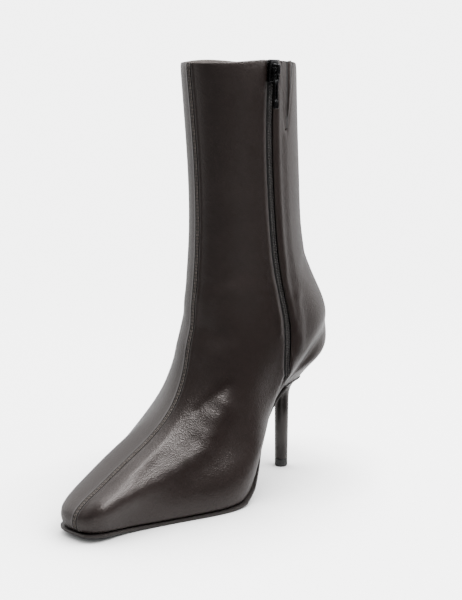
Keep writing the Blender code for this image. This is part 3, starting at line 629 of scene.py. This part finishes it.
def one_stitch(length, radius):
    """A short thread, thick in the middle, whose ends dip into the leather."""
    bpy.ops.object.select_all(action="DESELECT")
    bpy.ops.mesh.primitive_uv_sphere_add(segments=6, ring_count=6, radius=1.0, location=(0.0, 0.0, 0.0))
    thread = bpy.context.object
    bpy.ops.object.mode_set(mode="EDIT")
    bpy.ops.mesh.select_all(action="SELECT")
    bpy.ops.transform.rotate(value=math.pi / 2, orient_axis="Y", center_override=(0.0, 0.0, 0.0))
    bpy.ops.transform.resize(value=(length / 2, radius, radius))
    bpy.ops.object.mode_set(mode="OBJECT")
    shape = read_points(thread)
    shape[:, 2] -= 0.35 * radius * (shape[:, 0] / (length / 2)) ** 2
    faces = [tuple(face.vertices) for face in thread.data.polygons]
    bpy.data.objects.remove(thread)
    return shape, faces


def along_places(name, shape, faces, places, directions, normals, lift):
    """One object with the small shape set at each place."""
    across = np.cross(normals, directions)
    across /= np.linalg.norm(across, axis=1)[:, None]
    points = []
    polygons = []
    for place, run, side, up in zip(places, directions, across, normals):
        base = len(points)
        for x, y, z in shape:
            points.append(tuple(place + run * x + side * y + up * (z + lift)))
        for face in faces:
            polygons.append(tuple(base + corner for corner in face))
    mesh = bpy.data.meshes.new(name)
    mesh.from_pydata(points, [], polygons)
    item = bpy.data.objects.new(name, mesh)
    bpy.context.collection.objects.link(item)
    pick(item)
    bpy.ops.object.shade_smooth()
    return item


thread_paint, thread_nodes, thread_links = new_material("waxed_thread")
thread_shader = thread_nodes["Principled BSDF"]
thread_shader.inputs["Roughness"].default_value = 0.55
twist = thread_nodes.new("ShaderNodeTexWave")
twist.inputs["Scale"].default_value = 900.0
twist.inputs["Distortion"].default_value = 2.0
thread_place = thread_nodes.new("ShaderNodeTexCoord")
thread_tint = thread_nodes.new("ShaderNodeMix")
thread_tint.data_type = "RGBA"
thread_tint.inputs[6].default_value = (0.070, 0.057, 0.046, 1.0)
thread_tint.inputs[7].default_value = (0.150, 0.126, 0.104, 1.0)
thread_links.new(thread_place.outputs["Object"], twist.inputs["Vector"])
thread_links.new(twist.outputs["Fac"], thread_tint.inputs["Factor"])
thread_links.new(thread_tint.outputs[2], thread_shader.inputs["Base Color"])

stitch_shape, stitch_faces = one_stitch(STITCH_LENGTH, STITCH_RADIUS)
for row_name, row_side in (("seam_stitches_inner", SEAM_ROW), ("seam_stitches_outer", -SEAM_ROW)):
    places, runs, normals = evenly(in_order(seam_line(row_side)), SEAM_PITCH)
    row = along_places(row_name, stitch_shape, stitch_faces, places, runs, normals, 0.00012)
    row.data.materials.append(thread_paint)
    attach(row, "boot")


# Insole: a thin board covered with lining leather, laid on the lasting margin inside. It keeps
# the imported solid's form and gets the lining's material.
inner_sole = own_mesh("insole", "inner_sole")
pick(inner_sole)
bpy.ops.object.shade_smooth_by_angle(angle=math.radians(40))
inner_sole.data.materials.append(lining)
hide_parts("insole")
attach(inner_sole, "boot")


# Outsole: dark leather with an inked, lightly polished edge, cemented under the lasted upper.
# Its edges are softened with a narrow bevel.
def rounded(item, width, segments):
    """Softens the piece's edges with a narrow bevel."""
    pick(item)
    soft = item.modifiers.new("soft", "BEVEL")
    soft.width = width
    soft.segments = segments
    soft.limit_method = "ANGLE"
    soft.angle_limit = math.radians(35)
    bpy.ops.object.modifier_apply(modifier="soft")
    bpy.ops.object.shade_smooth_by_angle(angle=math.radians(40))


outer_sole = own_mesh("outsole", "outer_sole")
quads_and_subdivide(outer_sole, 0)
rounded(outer_sole, 0.0003, 2)
sole_leather = leather(
    "inked_sole", (0.0105, 0.0085, 0.0078), (0.0065, 0.0052, 0.0048), 0.42, 420.0, 0.22, 0.0,
)
outer_sole.data.materials.append(sole_leather)
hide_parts("outsole")
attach(outer_sole, "boot")


# Heel: a slim moulded stiletto wrapped in the same leather, with a rubber tip pinned under it.
# The tip is a wearing piece of its own, dull and a little uneven in gloss.
slim_heel = own_mesh("heel", "slim_heel")
quads_and_subdivide(slim_heel, 0)
pick(slim_heel)
bpy.ops.object.shade_smooth_by_angle(angle=math.radians(50))
heel_leather = leather(
    "heel_wrap", (0.0100, 0.0078, 0.0070), (0.0066, 0.0050, 0.0045), 0.33, 1000.0, 0.16, 0.0,
)
slim_heel.data.materials.append(heel_leather)
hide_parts("heel")
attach(slim_heel, "boot")

wearing_tip = own_mesh("heel_tip", "wearing_tip")
rounded(wearing_tip, 0.0002, 2)
tip_rubber, tip_nodes, tip_links = new_material("tip_rubber")
tip_shader = tip_nodes["Principled BSDF"]
tip_shader.inputs["Base Color"].default_value = (0.010, 0.010, 0.010, 1.0)
tip_speck = tip_nodes.new("ShaderNodeTexNoise")
tip_speck.inputs["Scale"].default_value = 700.0
tip_place = tip_nodes.new("ShaderNodeTexCoord")
tip_gloss = tip_nodes.new("ShaderNodeMapRange")
tip_gloss.inputs["To Min"].default_value = 0.48
tip_gloss.inputs["To Max"].default_value = 0.68
tip_links.new(tip_place.outputs["Object"], tip_speck.inputs["Vector"])
tip_links.new(tip_speck.outputs["Fac"], tip_gloss.inputs["Value"])
tip_links.new(tip_gloss.outputs["Result"], tip_shader.inputs["Roughness"])
wearing_tip.data.materials.append(tip_rubber)
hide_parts("heel_tip")
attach(wearing_tip, "boot")


# Zip: black woven tape behind the slot, and a closed nylon coil, two rows of small loops that
# hook into each other all the way down from the slider.
TOOTH_PITCH = 0.00190
TOOTH_LENGTH = 0.0023
TOOTH_RADIUS = 0.00046
TOOTH_ASIDE = 0.00110
TOOTH_LEAN = 0.45
TOOTH_LIFT = 0.00070

zip_cloth, cloth_nodes, cloth_links = new_material("zip_cloth")
cloth_shader = cloth_nodes["Principled BSDF"]
cloth_shader.inputs["Roughness"].default_value = 0.85
cloth_place = cloth_nodes.new("ShaderNodeTexCoord")
cloth_rows = cloth_nodes.new("ShaderNodeTexWave")
cloth_rows.bands_direction = "Z"
cloth_rows.inputs["Scale"].default_value = 420.0
cloth_rows.inputs["Distortion"].default_value = 1.5
cloth_tint = cloth_nodes.new("ShaderNodeMix")
cloth_tint.data_type = "RGBA"
cloth_tint.inputs[6].default_value = (0.0045, 0.0045, 0.0048, 1.0)
cloth_tint.inputs[7].default_value = (0.0105, 0.0100, 0.0105, 1.0)
cloth_relief = cloth_nodes.new("ShaderNodeBump")
cloth_relief.inputs["Strength"].default_value = 0.5
cloth_relief.inputs["Distance"].default_value = 0.0002
cloth_links.new(cloth_place.outputs["Object"], cloth_rows.inputs["Vector"])
cloth_links.new(cloth_rows.outputs["Fac"], cloth_tint.inputs["Factor"])
cloth_links.new(cloth_tint.outputs[2], cloth_shader.inputs["Base Color"])
cloth_links.new(cloth_rows.outputs["Fac"], cloth_relief.inputs["Height"])
cloth_links.new(cloth_relief.outputs["Normal"], cloth_shader.inputs["Normal"])

woven_tape = own_mesh("zip_tape", "woven_tape")
pick(woven_tape)
bpy.ops.object.shade_smooth_by_angle(angle=math.radians(50))
woven_tape.data.materials.append(zip_cloth)
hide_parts("zip_tape")
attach(woven_tape, "boot")

coil_low = guide_points[:, 2].min() + 0.0035
coil_high = guide_points[:, 2].max() - 0.0006
coil_line = np.array([guide_middle(height) for height in np.arange(coil_high, coil_low, -0.0021)])
for _ in range(2):
    coil_line[1:-1] = (coil_line[:-2] + 2 * coil_line[1:-1] + coil_line[2:]) / 4
coil_points = []
for spot in coil_line:
    hit = guide_tree.ray_cast(Vector(spot) + Vector((0.0, 0.02, 0.0)), Vector((0.0, -1.0, 0.0)))
    coil_points.append((tuple(spot), tuple(hit[1]) if hit[0] is not None else (0.0, 1.0, 0.0)))
tooth_places, tooth_runs, tooth_normals = evenly(coil_points, TOOTH_PITCH)
tooth_across = np.cross(tooth_normals, tooth_runs)
tooth_across /= np.linalg.norm(tooth_across, axis=1)[:, None]

coil_nylon, coil_nodes, coil_links = new_material("coil_nylon")
coil_shader = coil_nodes["Principled BSDF"]
coil_shader.inputs["Roughness"].default_value = 0.45
coil_shader.inputs["Specular IOR Level"].default_value = 0.25
coil_place = coil_nodes.new("ShaderNodeTexCoord")
coil_speck = coil_nodes.new("ShaderNodeTexNoise")
coil_speck.inputs["Scale"].default_value = 300.0
coil_tint = coil_nodes.new("ShaderNodeMix")
coil_tint.data_type = "RGBA"
coil_tint.inputs[6].default_value = (0.016, 0.014, 0.013, 1.0)
coil_tint.inputs[7].default_value = (0.036, 0.032, 0.029, 1.0)
coil_links.new(coil_place.outputs["Object"], coil_speck.inputs["Vector"])
coil_links.new(coil_speck.outputs["Fac"], coil_tint.inputs["Factor"])
coil_links.new(coil_tint.outputs[2], coil_shader.inputs["Base Color"])

tooth_shape, tooth_faces = one_stitch(TOOTH_LENGTH, TOOTH_RADIUS)
for side_name, side_turn, ahead in (("coil_front_row", 1.0, 0.0), ("coil_back_row", -1.0, 0.5)):
    lean_run = tooth_across * side_turn + tooth_runs * TOOTH_LEAN
    lean_run /= np.linalg.norm(lean_run, axis=1)[:, None]
    centres = tooth_places + tooth_across * side_turn * TOOTH_ASIDE + tooth_runs * TOOTH_PITCH * ahead
    teeth = along_places(side_name, tooth_shape, tooth_faces, centres, lean_run, tooth_normals, TOOTH_LIFT)
    teeth.data.materials.append(coil_nylon)
    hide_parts("zip_coil")
    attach(teeth, "boot")


# Slider and pull: die-cast metal, lacquered black. The slider's bridge holds the pull's pin, and
# the slim pull hangs from it and swings.
black_metal, metal_nodes, metal_links = new_material("black_lacquered_metal")
metal_shader = metal_nodes["Principled BSDF"]
metal_shader.inputs["Metallic"].default_value = 0.85
metal_shader.inputs["Coat Weight"].default_value = 0.25
metal_shader.inputs["Coat Roughness"].default_value = 0.12
metal_place = metal_nodes.new("ShaderNodeTexCoord")
metal_speck = metal_nodes.new("ShaderNodeTexNoise")
metal_speck.inputs["Scale"].default_value = 500.0
metal_tint = metal_nodes.new("ShaderNodeMix")
metal_tint.data_type = "RGBA"
metal_tint.inputs[6].default_value = (0.008, 0.008, 0.009, 1.0)
metal_tint.inputs[7].default_value = (0.016, 0.016, 0.017, 1.0)
metal_gloss = metal_nodes.new("ShaderNodeMapRange")
metal_gloss.inputs["To Min"].default_value = 0.20
metal_gloss.inputs["To Max"].default_value = 0.34
metal_links.new(metal_place.outputs["Object"], metal_speck.inputs["Vector"])
metal_links.new(metal_speck.outputs["Fac"], metal_tint.inputs["Factor"])
metal_links.new(metal_tint.outputs[2], metal_shader.inputs["Base Color"])
metal_links.new(metal_speck.outputs["Fac"], metal_gloss.inputs["Value"])
metal_links.new(metal_gloss.outputs["Result"], metal_shader.inputs["Roughness"])

for node, part_name, body in (("zip_slider", "cast_slider", "boot"), ("zip_pull", "slim_pull", "pull")):
    casting = own_mesh(node, part_name)
    quads_and_subdivide(casting, 0)
    rounded(casting, 0.00012, 2)
    casting.data.materials.append(black_metal)
    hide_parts(node)
    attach(casting, body)


# Elastic V: a strip of leather folded into a soft pleat, with dark ribbed elastic on each side of
# it, let into the cut in the collar; the elastic's very dark colour is partly painted shade of the
# pleat's folds. Its edges are tucked into the wall of the upper.
PLEAT_HEIGHT = 0.0010
PLEAT_AT = 0.20
ELASTIC_SHADE_BAND = 0.24
TUCK = 0.0009
TOP_DROP = 0.0012
END_ROWS = 0.003
PLEAT_START = 0.15
PLEAT_SPREAD = 0.30
PLEAT_LEAST = 0.02
TUCK_RAMP = 1.6
TOP_ROLL = 0.006
gore_panel = own_mesh("gore", "gore_panel")
pick(gore_panel)
plain = gore_panel.modifiers.new("plain", "SUBSURF")
plain.subdivision_type = "SIMPLE"
plain.levels = 5
plain.render_levels = 5
bpy.ops.object.modifier_apply(modifier="plain")
weave = read_points(gore_panel)
away = read_normals(gore_panel)
gore_top = weave[:, 2].max()
gore_foot = weave[:, 2].min()
top_rows = weave[weave[:, 2] > gore_top - END_ROWS]
foot_rows = weave[weave[:, 2] < gore_foot + END_ROWS]
rise = (weave[:, 2] - gore_foot) / (gore_top - gore_foot)
gore_mid = foot_rows[:, 0].mean() + (top_rows[:, 0].mean() - foot_rows[:, 0].mean()) * rise
gore_half = np.ptp(foot_rows[:, 0]) / 2 + (np.ptp(top_rows[:, 0]) - np.ptp(foot_rows[:, 0])) / 2 * rise
# counted backward from the middle: the leather in front of it is wider, as the zip is close by
across_gore = (gore_mid - weave[:, 0]) / gore_half - PLEAT_AT
above_start = rise - PLEAT_START
pleat_width = PLEAT_SPREAD * np.clip(above_start / (1.0 - PLEAT_START), 0.0, 1.0) + PLEAT_LEAST
pleat = np.clip(1.0 - np.abs(across_gore) / pleat_width, 0.0, 1.0)
pleat *= np.clip(above_start / PLEAT_START, 0.0, 1.0)
raised = np.where(away[:, 1] > 0.3, pleat ** 0.7 * PLEAT_HEIGHT, 0.0)
settled = weave + away * raised[:, None]
settled[:, 0] += np.clip((weave[:, 0] - gore_mid) / gore_half * TUCK_RAMP, -1.0, 1.0) * TUCK
settled[:, 2] -= TOP_DROP * np.clip((weave[:, 2] - gore_top) / TOP_ROLL + 1.0, 0.0, 1.0)
write_points(gore_panel, settled)
bpy.ops.object.shade_smooth_by_angle(angle=math.radians(40))

elastic_and_fold_shade, elastic_nodes, elastic_links = new_material("ribbed_elastic_and_painted_fold_shade")
elastic_shader = elastic_nodes["Principled BSDF"]
elastic_shader.inputs["Roughness"].default_value = 0.70
elastic_place = elastic_nodes.new("ShaderNodeTexCoord")
ribs = elastic_nodes.new("ShaderNodeTexWave")
ribs.bands_direction = "X"
ribs.inputs["Scale"].default_value = 300.0
ribs.inputs["Distortion"].default_value = 0.6
rib_tint = elastic_nodes.new("ShaderNodeMix")
rib_tint.data_type = "RGBA"
rib_tint.inputs[6].default_value = (0.0020, 0.0018, 0.0017, 1.0)
rib_tint.inputs[7].default_value = (0.0070, 0.0060, 0.0055, 1.0)
rib_relief = elastic_nodes.new("ShaderNodeBump")
rib_relief.inputs["Strength"].default_value = 0.6
rib_relief.inputs["Distance"].default_value = 0.0003
elastic_links.new(elastic_place.outputs["Object"], ribs.inputs["Vector"])
elastic_links.new(ribs.outputs["Fac"], rib_tint.inputs["Factor"])
elastic_links.new(rib_tint.outputs[2], elastic_shader.inputs["Base Color"])
elastic_links.new(ribs.outputs["Fac"], rib_relief.inputs["Height"])
elastic_links.new(rib_relief.outputs["Normal"], elastic_shader.inputs["Normal"])
gore_panel.data.materials.append(calf)
gore_panel.data.materials.append(elastic_and_fold_shade)
# The bands right beside the pleat get the very dark elastic, which also stands for painted shade in the
# pleat's folds
on_elastic_fold_shade = (np.abs(across_gore) > pleat_width) & (np.abs(across_gore) < pleat_width + ELASTIC_SHADE_BAND)
for face in gore_panel.data.polygons:
    if all(on_elastic_fold_shade[corner] for corner in face.vertices):
        face.material_index = 1
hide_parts("gore")
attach(gore_panel, "boot")
